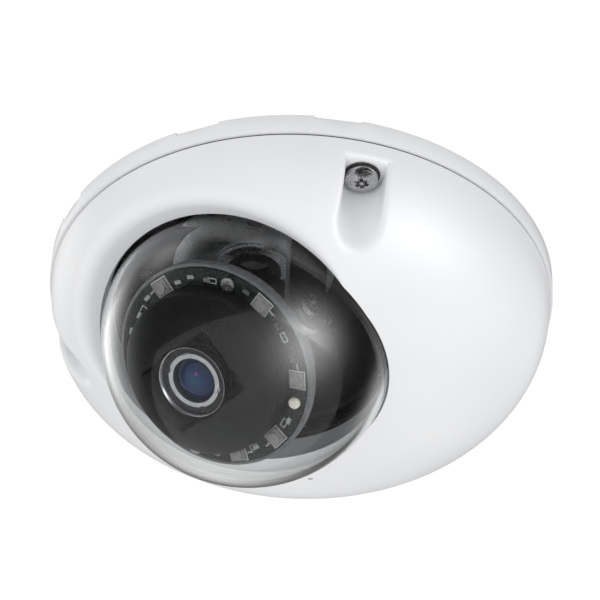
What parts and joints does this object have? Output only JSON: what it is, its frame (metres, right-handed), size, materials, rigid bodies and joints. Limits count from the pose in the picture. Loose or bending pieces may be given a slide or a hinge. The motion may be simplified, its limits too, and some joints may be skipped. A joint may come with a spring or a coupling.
{
  "type": "dome cctv camera",
  "caption": "Small ceiling dome camera: round white base, dished cover with a clear bubble, and a ball that pans, tilts and turns with a lens and a ring of infrared lamps.",
  "frame": {"origin": "centre of the ceiling face of the base", "axes": "+Z into the ceiling, -Y towards the front, where the bubble is; the camera hangs below z = 0"},
  "size_m": [0.11, 0.11, 0.0564],
  "materials": {
    "white_paint": "satin powder coat",
    "rubber": "matt",
    "black_plastic": "fine matt texture",
    "knurled_grey": "fine knurl",
    "circuit_board": "solder mask, slightly glossy",
    "chip_black": "matt",
    "heat_pad": "matt",
    "ivory_plastic": "satin",
    "screw_steel": "machined",
    "zinc_steel": "zinc plated",
    "lens_black": "satin black anodised",
    "silver_ring": "bright turned",
    "lens_glass": "coated glass",
    "lamp": "silicone lens over a ceramic body",
    "clear_bubble": "clear polycarbonate, polished"
  },
  "bodies": {
    "base": {"base_plate": "white_paint", "cable_grommet": "rubber", "cover_seal": "rubber", "gimbal_base": "black_plastic", "gimbal_screws": "screw_steel", "pan_retainer": "screw_steel", "inner_liner": "black_plastic", "main_board": "circuit_board", "board_screws": "screw_steel", "processor": "chip_black", "heat_pad": "heat_pad", "memory_chip": "chip_black", "network_magnetics": "chip_black", "power_inductor": "chip_black", "capacitors": "zinc_steel", "network_header": "ivory_plastic", "ribbon_socket": "ivory_plastic", "card_socket": "screw_steel", "reset_switch": "chip_black", "microphone": "zinc_steel"},
    "reset": {"reset_button": "ivory_plastic"},
    "pan_yoke": {"yoke": "zinc_steel"},
    "tilt_frame": {"tilt_ring": "black_plastic", "tilt_pins": "screw_steel"},
    "ball": {"ball_housing": "black_plastic", "neck_clip": "black_plastic", "rear_cap": "black_plastic", "sensor_board": "circuit_board", "image_sensor": "lens_glass", "lens_mount": "black_plastic", "lens_barrel": "lens_black", "focus_ring": "silver_ring", "lens_retainer": "silver_ring", "front_glass": "lens_glass", "rear_glass": "lens_glass", "led_board": "circuit_board", "ir_leds": "lamp", "light_sensor": "ivory_plastic", "board_parts": "zinc_steel", "led_board_screws": "screw_steel", "front_shroud": "black_plastic", "trim_ring": "knurled_grey"},
    "cover": {"cover_shell": "white_paint", "bubble": "clear_bubble", "bubble_seal": "rubber", "bubble_clamp": "black_plastic", "clamp_screws": "screw_steel", "cover_screws": "screw_steel", "screw_washers": "rubber", "screw_clips": "black_plastic"}
  },
  "joints": [
    {"name": "cover_slide", "type": "slide", "parent": "base", "child": "cover", "axis": [0, 0, -1], "range_m": [0, 0.055]},
    {"name": "pan", "type": "hinge", "parent": "base", "child": "pan_yoke", "pos_m": [0, -0.0158, -0.0251], "axis": [0, 0, 1], "range_deg": [-26, 34]},
    {"name": "tilt", "type": "hinge", "parent": "pan_yoke", "child": "tilt_frame", "pos_m": [0, -0.0158, -0.0251], "axis": [-0.9976, 0.0698, 0], "range_deg": [-37, 33]},
    {"name": "ball_turn", "type": "hinge", "parent": "tilt_frame", "child": "ball", "pos_m": [0, -0.0158, -0.0251], "axis": [-0.042, -0.6003, -0.7986], "range_deg": [-175, 175]},
    {"name": "reset_press", "type": "slide", "parent": "base", "child": "reset", "axis": [0, 0, 1], "range_m": [0, 0.0003], "stiffness_N_per_m": 900}
  ]
}
